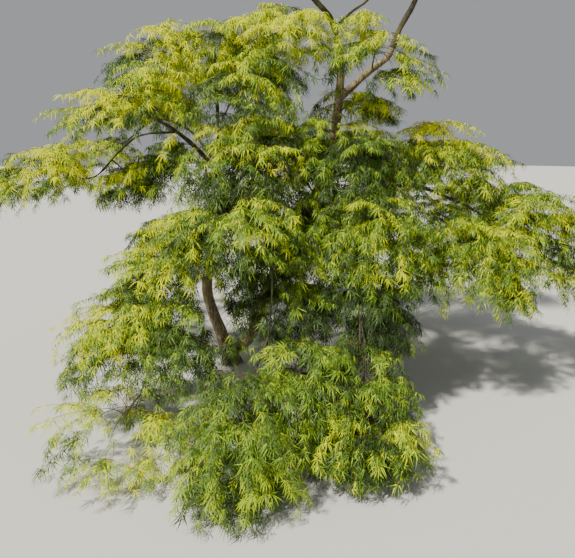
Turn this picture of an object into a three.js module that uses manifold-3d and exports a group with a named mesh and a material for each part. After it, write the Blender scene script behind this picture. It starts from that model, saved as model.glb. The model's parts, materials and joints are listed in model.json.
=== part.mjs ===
import * as THREE from "three";
import Module from "manifold-3d";

// A laceleaf Japanese maple, rooted in the ground: a leaning trunk and a second stem from one foot,
// arching boughs, and masses of finely cut leaves that hang in layers round them.
// Millimetres, +Z up, origin at the middle of the flat cut under the trunk.

const wasm = await Module();
wasm.setup();

// Clearances
const GAP = 0.32;
const CLEAR_OF_LIMBS = 12;
const CLEAR_OF_LEAVES = 20;
const SPACE_EDGE = 1.05;
const SPACE_MARGIN = 0.05;
const ROUND = 2;
const STEEP_SIDED = 4;
const LOWEST_LEAF = 12;

// Trunk and boughs
const TRUNK_SIDES = 10;
const BOUGH_SIDES = 6;
const LIMB_STEP = 150;
const FEWEST_STEPS = 3;
const STEEP_ENOUGH = 0.9;
const STEPS_IN_FLARE = 4;
const LIMB_TAPER = 0.85;
const FLARE_WIDTH = 30;
const FLARE_HEIGHT = 85;
const FLARE_LOBES = 5;
const FLARE_LOBE_DEPTH = 0.16;

// Stems and twigs
const STEM_THICK = 12;
const STEM_TIP_THICK = 9;
const STEM_TO_LIMB_THICK = 1.6;
const STEM_SIDES = 3;
const STEM_STEPS = 2;
const STEM_ARCH = 0.1;
const STEM_TIP_RISE = 0.2;
const TWIG_THICK = 3.6;
const TWIG_DEPTH = 4.7;
const TWIG_STEPS = 2;
const TWIG_ARCH = 0.15;
const TWIG_OUT_AT_TOP = 0.22;
const TWIG_OUT_AT_FOOT = 0.66;
const REACHES_TRIED = [1, 0.8, 1.15];
const TURNS_TRIED = [0, 0.35, -0.35, 0.7, -0.7];
const HIGHEST_TWIG = 0.82;
const LOWEST_TWIG = -0.1;
const HIGHEST_TWIG_ROOT = 0.98;
const LOWEST_TWIG_ROOT = 0.4;
const GOLDEN_TURN = Math.PI * (3 - Math.sqrt(5));
const LOOSE_TURN = 0.5;
const FIRST_SEED = 11;

// Sprays of leaves, as shares of their length, which is a share of the mass's reach
const SPRAY_AT_TOP = 1;
const SPRAY_AT_FOOT = 0.8;
const SPRAY_SIZES = [1, 0.85, 0.7, 0.55];
const SPRAY_LOBES = 7;
const SPRAY_LOBES_BELOW = 5;
const UPPER_SPRAYS = 0.4;
const SPRAY_MIDDLE = 0.14;
const SPRAY_TURN_AT_TOP = THREE.MathUtils.degToRad(115);
const SPRAY_TURN_AT_FOOT = THREE.MathUtils.degToRad(72);
const SPRAY_SHORTER = 0.35;
const SPRAY_NOTCH = 0.68;
const SPRAY_DROOP = 0.3;
const SPRAY_THICK = 10;
const SLOPE_AT_TOP = THREE.MathUtils.degToRad(8);
const SLOPE_AT_FOOT = THREE.MathUtils.degToRad(62);
const SAMPLE_STEP = 26;
const CELL = 90;

const place = (x, y, z) => new THREE.Vector3(x, y, z);
const UP = place(0, 0, 1);

const bark = new THREE.MeshStandardMaterial({ color: 0x6f6556, roughness: 0.85, metalness: 0 });
const foliage = new THREE.MeshStandardMaterial({ color: 0x7f9a2c, roughness: 0.6, metalness: 0 });

// Each limb starts on its parent, at a share of the parent's length, and passes a few places to its tip.
const limbPlans = [
  {
    name: "trunk",
    way: [place(0, 0, 0), place(-62, -20, 215), place(-150, -60, 560), place(-112, -60, 830),
      place(-35, -45, 1080), place(-25, 0, 1320)],
    thick: [47, 27],
    sides: TRUNK_SIDES,
    flared: true,
  },
  {
    name: "back_stem",
    on: ["trunk", 0.05],
    way: [place(139, 50, 185), place(190, 85, 360), place(389, 150, 805), place(624, 200, 1230),
      place(728, 220, 1580), place(765, 220, 1900)],
    thick: [40, 33],
    sides: TRUNK_SIDES,
  },
  {
    name: "left_bough",
    on: ["trunk", 0.975],
    way: [place(-126, -100, 1466), place(-313, -150, 1639), place(-494, -200, 1745),
      place(-560, -225, 1800)],
    thick: [19, 9],
  },
  {
    name: "left_arch_bough",
    on: ["left_bough", 0.58],
    way: [place(-522, -185, 1596), place(-648, -185, 1505), place(-813, -180, 1350),
      place(-900, -170, 1330)],
    thick: [9.5, 6],
  },
  {
    name: "upper_left_bough",
    on: ["left_bough", 0.84],
    way: [place(-440, -160, 1870), place(-428, -110, 2050)],
    thick: [8.5, 6],
  },
  {
    name: "crown_bough",
    on: ["trunk", 0.93],
    way: [place(-60, 20, 1480), place(-40, -70, 1730), place(-60, 40, 2110)],
    thick: [17, 8],
  },
  {
    name: "front_low_bough",
    on: ["trunk", 0.8],
    way: [place(60, -300, 1180), place(180, -620, 1210), place(300, -860, 1120)],
    thick: [18, 10],
  },
  {
    name: "front_drop_bough",
    on: ["front_low_bough", 0.93],
    way: [place(325, -960, 900), place(315, -1060, 640), place(290, -1140, 500)],
    thick: [8.5, 5.5],
  },
  {
    name: "left_front_bough",
    on: ["trunk", 0.7],
    way: [place(-170, -300, 1050), place(-240, -560, 960), place(-360, -800, 720), place(-420, -880, 620)],
    thick: [16, 8],
  },
  {
    name: "low_left_bough",
    on: ["left_front_bough", 0.8],
    way: [place(-270, -1030, 560), place(-320, -1220, 350)],
    thick: [7, 5],
  },
  {
    name: "right_rising_bough",
    on: ["trunk", 0.89],
    way: [place(140, -70, 1370), place(350, -110, 1430), place(520, -130, 1350)],
    thick: [17, 12],
  },
  {
    name: "right_drop_bough",
    on: ["right_rising_bough", 0.97],
    way: [place(650, -200, 1100), place(720, -480, 880), place(770, -780, 760), place(810, -1020, 560)],
    thick: [11, 6],
  },
  {
    name: "right_bough",
    on: ["back_stem", 0.5],
    way: [place(850, 110, 1180), place(1250, 60, 1270), place(1600, 0, 1150), place(1760, -40, 1060)],
    thick: [21, 8],
  },
  {
    name: "right_low_bough",
    on: ["right_bough", 0.32],
    way: [place(980, -180, 1170), place(1120, -400, 1080), place(1330, -500, 960)],
    thick: [11, 6],
  },
  {
    name: "back_left_bough",
    on: ["crown_bough", 0.18],
    way: [place(-280, 240, 1640), place(-560, 440, 1720), place(-830, 560, 1560)],
    thick: [13, 6],
  },
  {
    name: "back_mid_bough",
    on: ["trunk", 0.84],
    way: [place(60, 350, 1380), place(200, 720, 1420), place(220, 1020, 1220)],
    thick: [16, 8],
  },
  {
    name: "back_right_bough",
    on: ["back_stem", 0.57],
    way: [place(820, 520, 1320), place(1120, 820, 1230), place(1200, 1080, 1000)],
    thick: [17, 8],
  },
  {
    name: "top_left_arm",
    on: ["back_stem", 0.985],
    way: [place(765, 205, 2080), place(695, 180, 2335), place(590, 190, 2455), place(450, 220, 2600)],
    thick: [30, 15],
  },
  {
    name: "top_right_arm",
    on: ["back_stem", 0.975],
    way: [place(960, 205, 2025), place(1078, 185, 2115), place(1143, 180, 2276), place(1231, 200, 2430),
      place(1300, 230, 2600)],
    thick: [29, 15],
  },
  {
    name: "top_thin_arm",
    on: ["top_left_arm", 0.5],
    way: [place(830, 190, 2390), place(934, 200, 2465), place(1000, 240, 2600)],
    thick: [13, 8],
  },
];

// Each mass hangs from a place on a limb and fills its own space, an egg-shaped one round its middle.
const massPlans = [
  // Top of the crown
  {
    name: "top_left_tuft", on: ["upper_left_bough", 1], twigs: 6,
    middle: place(-425, -100, 2095), reach: place(320, 285, 185),
  },
  {
    name: "top_mid", on: ["crown_bough", 1], twigs: 6,
    middle: place(-75, 60, 2205), reach: place(320, 305, 160),
  },
  {
    name: "top_centre", on: ["top_left_arm", 0.28], twigs: 7,
    middle: place(400, -120, 2215), reach: place(350, 340, 180),
  },
  {
    name: "top_right", on: ["top_right_arm", 0.3], twigs: 7,
    middle: place(950, -150, 2080), reach: place(370, 305, 230),
  },
  {
    name: "fork_cluster", on: ["back_stem", 0.93], twigs: 5,
    middle: place(890, 60, 1800), reach: place(300, 245, 115),
  },
  {
    name: "upper_centre", on: ["crown_bough", 0.45], twigs: 7,
    middle: place(155, -350, 1855), reach: place(375, 350, 215),
  },
  // Upper left
  {
    name: "left_layer", on: ["left_bough", 1], twigs: 7,
    middle: place(-525, -300, 1785), reach: place(455, 350, 200),
  },
  {
    name: "left_drooping", on: ["left_arch_bough", 1], twigs: 7,
    middle: place(-1200, -100, 1350), reach: place(445, 350, 210),
  },
  {
    name: "left_arch_sprig", on: ["left_arch_bough", 0.66], twigs: 5,
    middle: place(-610, -170, 1320), reach: place(210, 200, 160),
  },
  {
    name: "dark_sprig", on: ["left_bough", 0.2], twigs: 5,
    middle: place(-320, -210, 1425), reach: place(215, 210, 170),
  },
  // Middle of the front
  {
    name: "centre_high", on: ["trunk", 0.86], twigs: 7,
    middle: place(155, -550, 1475), reach: place(370, 350, 235),
  },
  {
    name: "centre_low", on: ["front_low_bough", 0.8], twigs: 7,
    middle: place(110, -800, 1130), reach: place(430, 340, 205),
  },
  {
    name: "inner_cluster", on: ["right_rising_bough", 0.75], twigs: 5,
    middle: place(580, -440, 1050), reach: place(280, 280, 250),
  },
  // Right side
  {
    name: "dome", on: ["right_bough", 0.22], twigs: 8,
    middle: place(770, -250, 1445), reach: place(480, 370, 270),
  },
  {
    name: "right_high", on: ["right_bough", 0.62], twigs: 8,
    middle: place(1480, 100, 1430), reach: place(415, 425, 275),
  },
  {
    name: "right_outer", on: ["right_bough", 1], twigs: 9,
    middle: place(2050, -100, 950), reach: place(465, 445, 390),
  },
  {
    name: "right_front", on: ["right_low_bough", 0.5], twigs: 8,
    middle: place(955, -600, 1035), reach: place(395, 335, 285),
  },
  {
    name: "right_low", on: ["right_low_bough", 1], twigs: 8,
    middle: place(1550, -520, 890), reach: place(370, 350, 275),
  },
  // Left skirt
  {
    name: "small_sprig", on: ["left_front_bough", 0.36], twigs: 5,
    middle: place(-350, -420, 1020), reach: place(205, 190, 140),
  },
  {
    name: "skirt_high", on: ["left_front_bough", 0.62], twigs: 7,
    middle: place(-250, -760, 865), reach: place(320, 305, 205),
  },
  {
    name: "skirt_outer", on: ["left_front_bough", 1], twigs: 8,
    middle: place(-530, -900, 535), reach: place(340, 330, 255),
  },
  {
    name: "skirt_inner", on: ["low_left_bough", 0.4], twigs: 5,
    middle: place(-130, -1000, 545), reach: place(230, 265, 240),
  },
  {
    name: "low_left", on: ["low_left_bough", 1], twigs: 6,
    middle: place(-365, -1350, 250), reach: place(390, 305, 230),
  },
  // Front curtains and hem
  {
    name: "curtain_centre", on: ["front_low_bough", 0.55], twigs: 6,
    middle: place(345, -680, 740), reach: place(330, 305, 255),
  },
  {
    name: "curtain_right", on: ["right_drop_bough", 0.6], twigs: 6,
    middle: place(870, -750, 670), reach: place(270, 285, 235),
  },
  {
    name: "front_left", on: ["front_drop_bough", 0.85], twigs: 8,
    middle: place(190, -1500, 265), reach: place(290, 310, 275),
  },
  {
    name: "front_mid", on: ["front_drop_bough", 1], twigs: 7,
    middle: place(470, -1230, 385), reach: place(285, 275, 250),
  },
  {
    name: "front_right", on: ["right_drop_bough", 0.9], twigs: 7,
    middle: place(770, -1160, 350), reach: place(260, 265, 235),
  },
  {
    name: "hem_right", on: ["right_drop_bough", 1], twigs: 7,
    middle: place(770, -1395, 245), reach: place(325, 220, 145),
  },
  // Back
  {
    name: "back_left_layer", on: ["back_left_bough", 0.62], twigs: 6,
    middle: place(-560, 480, 1870), reach: place(425, 370, 180),
  },
  {
    name: "back_left_drooping", on: ["back_left_bough", 1], twigs: 6,
    middle: place(-1130, 640, 1400), reach: place(415, 360, 225),
  },
  {
    name: "back_top", on: ["crown_bough", 0.72], twigs: 6,
    middle: place(130, 470, 2110), reach: place(415, 370, 175),
  },
  {
    name: "back_centre", on: ["back_mid_bough", 0.6], twigs: 7,
    middle: place(180, 950, 1560), reach: place(455, 390, 245),
  },
  {
    name: "back_right", on: ["back_right_bough", 0.5], twigs: 7,
    middle: place(1040, 880, 1440), reach: place(445, 390, 245),
  },
  {
    name: "back_far_right", on: ["back_right_bough", 0.75], twigs: 6,
    middle: place(1740, 820, 1060), reach: place(455, 415, 295),
  },
  {
    name: "back_low_left", on: ["back_mid_bough", 1], twigs: 7,
    middle: place(20, 1330, 980), reach: place(465, 370, 285),
  },
  {
    name: "back_low_right", on: ["back_right_bough", 1], twigs: 7,
    middle: place(920, 1320, 850), reach: place(465, 370, 285),
  },
  // Ends of the top arms
  {
    name: "sky_left", on: ["top_left_arm", 1], twigs: 6,
    middle: place(330, 250, 2770), reach: place(405, 350, 180),
  },
  {
    name: "sky_middle", on: ["top_thin_arm", 1], twigs: 5,
    middle: place(960, 300, 2860), reach: place(350, 340, 180),
  },
  {
    name: "sky_right", on: ["top_right_arm", 1], twigs: 5,
    middle: place(1510, 250, 2760), reach: place(370, 340, 170),
  },
];

// Numbers from 0 to 1 that are the same each time for the same seed
function seeded(seed) {
  const [scatter, factor, addend, range] = [2654435761, 1664525, 1013904223, 2 ** 32];
  let state = (seed * scatter) >>> 0;
  return () => {
    state = (Math.imul(state, factor) + addend) >>> 0;
    return state / range;
  };
}

function solidOf(positions, triangles) {
  const mesh = new wasm.Mesh({
    numProp: 3,
    vertProperties: new Float32Array(positions.flatMap((p) => [p.x, p.y, p.z])),
    triVerts: new Uint32Array(triangles.flat()),
  });
  return new wasm.Manifold(mesh);
}

// A closed tube along a curve, with its own thickness at each place and a flat end at each end.
function tube(curve, thickAt, { sides, steps, flat = false, extra = 0 }) {
  const positions = [];
  const triangles = [];
  let side = null;
  for (let step = 0; step <= steps; step += 1) {
    const share = step / steps;
    const along = step === 0 && flat ? UP.clone() : curve.getTangentAt(share);
    side ??= Math.abs(along.x) < STEEP_ENOUGH ? place(1, 0, 0) : place(0, 1, 0);
    side.addScaledVector(along, -side.dot(along)).normalize();
    const across = new THREE.Vector3().crossVectors(along, side);
    const centre = curve.getPointAt(share);
    if (step === steps) centre.addScaledVector(along, extra);
    for (let corner = 0; corner < sides; corner += 1) {
      const turn = (2 * Math.PI * corner) / sides;
      const thick = thickAt(share, turn, centre);
      positions.push(centre.clone()
        .addScaledVector(side, thick * Math.cos(turn))
        .addScaledVector(across, thick * Math.sin(turn)));
    }
  }
  for (let step = 0; step < steps; step += 1) {
    for (let corner = 0; corner < sides; corner += 1) {
      const next = (corner + 1) % sides;
      const low = step * sides;
      const high = low + sides;
      triangles.push([low + corner, low + next, high + next]);
      triangles.push([low + corner, high + next, high + corner]);
    }
  }
  const last = steps * sides;
  for (let corner = 1; corner < sides - 1; corner += 1) {
    triangles.push([0, corner + 1, corner]);
    triangles.push([last, last + corner, last + corner + 1]);
  }
  return solidOf(positions, triangles);
}

function largestPiece(solid) {
  const pieces = solid.decompose();
  return pieces.reduce((best, piece) => (piece.volume() > best.volume() ? piece : best));
}

// Limbs
const limbs = new Map();

function limbThickness(plan, share, turn, centre) {
  const thick = THREE.MathUtils.lerp(plan.thick[0], plan.thick[1], share ** LIMB_TAPER);
  if (!plan.flared) return thick;
  const flare = Math.exp(-Math.max(centre.z, 0) / FLARE_HEIGHT);
  return (thick + FLARE_WIDTH * flare) * (1 + FLARE_LOBE_DEPTH * flare * Math.cos(FLARE_LOBES * turn));
}

function makeLimb(plan) {
  const start = plan.on ? [limbs.get(plan.on[0]).curve.getPointAt(plan.on[1])] : [];
  const curve = new THREE.CatmullRomCurve3([...start, ...plan.way], false, "centripetal");
  const evenSteps = Math.max(FEWEST_STEPS, Math.round(curve.getLength() / LIMB_STEP));
  const steps = evenSteps + (plan.flared ? STEPS_IN_FLARE : 0);
  const shape = { sides: plan.sides ?? BOUGH_SIDES, steps, flat: plan.flared };
  const thickAt = (share, turn, centre) => limbThickness(plan, share, turn, centre);
  const grownAt = (share, turn, centre) => thickAt(share, turn, centre) + GAP;
  let solid = tube(curve, thickAt, shape);
  const grown = tube(curve, grownAt, { ...shape, extra: GAP });
  for (const other of limbs.values()) solid = solid.subtract(other.grown);
  limbs.set(plan.name, { plan, curve, solid: largestPiece(solid), grown });
}

// Places taken by wood and leaves, kept in cells so that near ones are found fast
const taken = new Map();

const cellOf = (point) => [point.x, point.y, point.z].map((value) => Math.floor(value / CELL));

function take(point, room, owner) {
  const key = cellOf(point).join();
  if (!taken.has(key)) taken.set(key, []);
  taken.get(key).push({ point, room, owner });
}

function isFree(point, ownersLeftOut) {
  const [a, b, c] = cellOf(point);
  for (let i = a - 1; i <= a + 1; i += 1) {
    for (let j = b - 1; j <= b + 1; j += 1) {
      for (let k = c - 1; k <= c + 1; k += 1) {
        for (const other of taken.get([i, j, k].join()) ?? []) {
          if (ownersLeftOut.includes(other.owner)) continue;
          if (other.point.distanceTo(point) < other.room) return false;
        }
      }
    }
  }
  return true;
}

function placesAlong(curve, step = SAMPLE_STEP) {
  const count = Math.max(1, Math.ceil(curve.getLength() / step));
  return Array.from({ length: count + 1 }, (unused, index) => curve.getPointAt(index / count));
}

// How far out a point lies in a mass's space: 0 in the middle, 1 at the edge. The space is round above
// and has steeper sides below, like a bell.
function outness(point, { middle, reach }) {
  const from = point.clone().sub(middle).divide(reach);
  const power = from.z > 0 ? ROUND : STEEP_SIDED;
  return (Math.hypot(from.x, from.y) ** power + Math.abs(from.z) ** power) ** (1 / power);
}

function inOwnSpace(point, mass) {
  const own = outness(point, mass);
  if (own > SPACE_EDGE || point.z < LOWEST_LEAF) return false;
  return massPlans.every((other) => other === mass || outness(point, other) > own + SPACE_MARGIN);
}

// Masses
function stemOf(mass) {
  const start = limbs.get(mass.on[0]).curve.getPointAt(mass.on[1]);
  const hub = mass.middle.clone().addScaledVector(UP, STEM_TIP_RISE * mass.reach.z);
  const run = start.distanceTo(hub);
  const bend = start.clone().lerp(hub, 0.5).addScaledVector(UP, STEM_ARCH * run);
  return new THREE.QuadraticBezierCurve3(start, bend, hub);
}

// A twig with a spray of leaves at its end, as one closed piece: a three-sided stalk that opens into a thin
// fan of pointed lobes, which droop round its middle.
function makeSpray(curve, { slope, spread, lobes }, length) {
  const run = curve.getPointAt(1).sub(curve.getPointAt(0)).setZ(0).normalize();
  const aside = new THREE.Vector3().crossVectors(UP, run);
  const ahead = run.clone().multiplyScalar(Math.cos(slope)).addScaledVector(UP, -Math.sin(slope));
  const above = new THREE.Vector3().crossVectors(ahead, aside);
  const positions = [];
  const triangles = [];
  for (let step = 0; step <= TWIG_STEPS; step += 1) {
    const share = step / TWIG_STEPS;
    const centre = curve.getPointAt(share);
    const over = new THREE.Vector3().crossVectors(curve.getTangentAt(share), aside);
    positions.push(centre.clone().addScaledVector(aside, TWIG_THICK));
    positions.push(centre.clone().addScaledVector(aside, -TWIG_THICK));
    positions.push(centre.clone().addScaledVector(over, -TWIG_DEPTH));
  }
  for (let low = 0; low < 3 * TWIG_STEPS; low += 3) {
    for (let corner = 0; corner < 3; corner += 1) {
      const next = (corner + 1) % 3;
      triangles.push([low + corner, low + next + 3, low + corner + 3]);
      triangles.push([low + corner, low + next, low + next + 3]);
    }
  }
  triangles.push([0, 2, 1]);

  const root = curve.getPointAt(1);
  const spot = (turn, out, upward) => root.clone()
    .addScaledVector(ahead, length * (SPRAY_MIDDLE + out * Math.cos(turn)))
    .addScaledVector(aside, length * out * Math.sin(turn))
    .addScaledVector(above, length * (upward - SPRAY_DROOP * out * out));
  const [left, right, under] = [3 * TWIG_STEPS, 3 * TWIG_STEPS + 1, 3 * TWIG_STEPS + 2];
  const outline = [left];
  const tips = [];
  const lobeEdges = 2 * lobes - 2;
  for (let edge = 0; edge <= lobeEdges; edge += 1) {
    const turn = spread * (1 - (2 * edge) / lobeEdges);
    const out = (1 - SPRAY_SHORTER * Math.abs(turn / spread)) * (edge % 2 ? SPRAY_NOTCH : 1);
    tips.push({ turn, out: out * (1 - SPRAY_MIDDLE) });
    outline.push(positions.length);
    positions.push(spot(turn, out * (1 - SPRAY_MIDDLE), 0));
  }
  outline.push(right);
  const half = SPRAY_THICK / 2 / length;
  const [upper, lower] = [positions.length, positions.length + 1];
  positions.push(spot(0, 0, half), spot(0, 0, -half));
  for (let corner = 0; corner < outline.length - 1; corner += 1) {
    triangles.push([upper, outline[corner + 1], outline[corner]]);
    triangles.push([lower, outline[corner], outline[corner + 1]]);
  }
  triangles.push([upper, left, right]);
  triangles.push([lower, right, under]);
  triangles.push([lower, under, left]);

  const places = tips.flatMap(({ turn, out }) => {
    const count = Math.ceil((out * length) / SAMPLE_STEP);
    return Array.from({ length: count }, (unused, index) => spot(turn, (out * (index + 1)) / count, 0));
  });
  return { positions, triangles, places };
}

function twigCurve(mass, root, turn, out, rise) {
  const target = place(out * Math.cos(turn), out * Math.sin(turn), rise);
  target.multiply(mass.reach).add(mass.middle);
  const run = Math.hypot(target.x - root.x, target.y - root.y);
  const bend = root.clone().lerp(target, 0.5);
  bend.z = Math.max(root.z, target.z) + TWIG_ARCH * run;
  return new THREE.QuadraticBezierCurve3(root, bend, target);
}

// Twigs leave the stem one after another, from its tip downwards, and turn round it evenly.
function growTwig(mass, index, random) {
  const level = (index + 0.5) / mass.twigs;
  const between = (top, foot) => THREE.MathUtils.lerp(top, foot, level);
  const turn = index * GOLDEN_TURN + LOOSE_TURN * random();
  const root = mass.stem.getPointAt(between(HIGHEST_TWIG_ROOT, LOWEST_TWIG_ROOT));
  const length = between(SPRAY_AT_TOP, SPRAY_AT_FOOT) * (mass.reach.x + mass.reach.y) / 2;
  const form = {
    slope: between(SLOPE_AT_TOP, SLOPE_AT_FOOT),
    spread: between(SPRAY_TURN_AT_TOP, SPRAY_TURN_AT_FOOT),
    lobes: level < UPPER_SPRAYS ? SPRAY_LOBES : SPRAY_LOBES_BELOW,
  };
  const woodFits = (point) => inOwnSpace(point, mass) && isFree(point, [mass.name]);
  const leavesFit = (point) => inOwnSpace(point, mass) && isFree(point, []);
  for (const size of SPRAY_SIZES) {
    for (const aside of TURNS_TRIED) {
      for (const share of REACHES_TRIED) {
        const out = share * between(TWIG_OUT_AT_TOP, TWIG_OUT_AT_FOOT);
        const curve = twigCurve(mass, root, turn + aside, out, between(HIGHEST_TWIG, LOWEST_TWIG));
        const spray = makeSpray(curve, form, length * size);
        if (placesAlong(curve).every(woodFits) && spray.places.every(leavesFit)) {
          placesAlong(curve).forEach((point) => take(point, CLEAR_OF_LIMBS, mass.name));
          spray.places.forEach((point) => take(point, CLEAR_OF_LEAVES, `${mass.name} leaves`));
          return [solidOf(spray.positions, spray.triangles)];
        }
      }
    }
  }
  return [];
}

function makeMass(mass, index) {
  const random = seeded(index + FIRST_SEED);
  const limb = limbs.get(mass.on[0]);
  const thick = Math.min(STEM_THICK, STEM_TO_LIMB_THICK * limb.plan.thick[1]);
  const thickAt = (share) => THREE.MathUtils.lerp(thick, Math.min(thick, STEM_TIP_THICK), share);
  const pieces = [tube(mass.stem, thickAt, { sides: STEM_SIDES, steps: STEM_STEPS })];
  for (let twig = 0; twig < mass.twigs; twig += 1) pieces.push(...growTwig(mass, twig, random));
  let solid = wasm.Manifold.union(pieces);
  for (const other of limbs.values()) solid = solid.subtract(other.grown);
  return largestPiece(solid);
}

function meshOf(name, solid, material) {
  const { vertProperties, triVerts } = solid.getMesh();
  const geometry = new THREE.BufferGeometry();
  geometry.setAttribute("position", new THREE.BufferAttribute(vertProperties, 3));
  geometry.setIndex(new THREE.BufferAttribute(triVerts, 1));
  geometry.computeVertexNormals();
  const mesh = new THREE.Mesh(geometry, material);
  mesh.name = name;
  return mesh;
}

function makeTree() {
  const tree = new THREE.Group();
  for (const plan of limbPlans) makeLimb(plan);
  for (const [name, { plan, curve, solid }] of limbs) {
    placesAlong(curve).forEach((centre, index, all) => {
      const share = index / (all.length - 1);
      take(centre, limbThickness(plan, share, 0, centre) + CLEAR_OF_LIMBS, name);
    });
    tree.add(meshOf(name, solid, bark));
  }
  for (const mass of massPlans) {
    mass.stem = stemOf(mass);
    placesAlong(mass.stem).forEach((point) => take(point, STEM_THICK + CLEAR_OF_LIMBS, mass.name));
  }
  massPlans.forEach((mass, index) => tree.add(meshOf(mass.name, makeMass(mass, index), foliage)));
  return tree;
}

export default makeTree();
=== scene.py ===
"""A laceleaf Japanese maple rooted in the ground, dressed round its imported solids.

The trunk, the second stem and the boughs become one skin of bark. Each mass of foliage becomes twigs that
branch from one stem and carry finely cut leaves. They grow by the rule of the solids, carried to finer
twigs, and keep to the same spaces. Metres, +Z up, the origin at the middle of the flat cut under the trunk.
"""

import functools
import json
import math
from typing import NamedTuple

import bpy
import numpy as np
from bpy.props import FloatProperty, FloatVectorProperty, IntProperty, PointerProperty
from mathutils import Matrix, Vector
from mathutils.kdtree import KDTree

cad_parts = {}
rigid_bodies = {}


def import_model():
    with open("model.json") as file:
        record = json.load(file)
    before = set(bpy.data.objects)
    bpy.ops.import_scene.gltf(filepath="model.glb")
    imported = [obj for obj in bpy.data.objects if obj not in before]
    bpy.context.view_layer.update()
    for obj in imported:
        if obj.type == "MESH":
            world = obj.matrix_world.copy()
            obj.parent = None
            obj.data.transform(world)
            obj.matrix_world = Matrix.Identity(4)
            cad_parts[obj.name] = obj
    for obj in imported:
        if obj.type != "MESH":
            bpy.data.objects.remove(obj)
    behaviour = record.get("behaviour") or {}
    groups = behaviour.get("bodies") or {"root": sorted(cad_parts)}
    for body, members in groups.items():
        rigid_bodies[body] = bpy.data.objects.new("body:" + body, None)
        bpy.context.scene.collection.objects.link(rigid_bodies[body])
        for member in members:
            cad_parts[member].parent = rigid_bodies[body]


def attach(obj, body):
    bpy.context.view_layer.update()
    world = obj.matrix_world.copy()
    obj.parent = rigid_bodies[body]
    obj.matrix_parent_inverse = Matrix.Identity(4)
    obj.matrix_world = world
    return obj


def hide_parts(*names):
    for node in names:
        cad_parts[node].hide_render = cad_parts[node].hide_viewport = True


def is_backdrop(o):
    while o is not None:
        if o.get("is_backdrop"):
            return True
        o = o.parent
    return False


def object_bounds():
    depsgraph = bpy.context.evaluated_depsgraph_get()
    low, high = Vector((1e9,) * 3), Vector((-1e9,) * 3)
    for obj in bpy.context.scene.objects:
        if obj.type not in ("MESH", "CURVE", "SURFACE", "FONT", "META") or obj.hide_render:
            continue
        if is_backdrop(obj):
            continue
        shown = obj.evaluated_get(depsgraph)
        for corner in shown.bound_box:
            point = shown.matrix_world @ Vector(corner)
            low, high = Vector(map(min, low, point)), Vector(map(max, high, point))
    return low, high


bl_info = {
    "name": "Laceleaf maple",
    "version": (1, 0, 0),
    "blender": (4, 5, 0),
    "location": "3D View > Sidebar > Maple",
    "description": "Dresses the solids of a laceleaf maple with bark, twigs and finely cut leaves",
    "category": "Object",
}

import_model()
CAD_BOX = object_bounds()

UP = np.array((0.0, 0.0, 1.0))
GOLDEN_SHARE = (3 - math.sqrt(5)) / 2
SHORTEST = 1e-9


def colour(code):
    """A colour that is written as it looks on a screen, in the linear values that shaders take."""
    shares = [int(code[at : at + 2], 16) / 255 for at in (0, 2, 4)]
    return tuple(s / 12.92 if s <= 0.04045 else ((s + 0.055) / 1.055) ** 2.4 for s in shares)


class Limb(NamedTuple):
    """A trunk, stem or bough: what it grows on and where, the places it passes and its half thickness."""

    name: str
    parent: str
    share: float
    way: tuple
    thick: tuple


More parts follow.
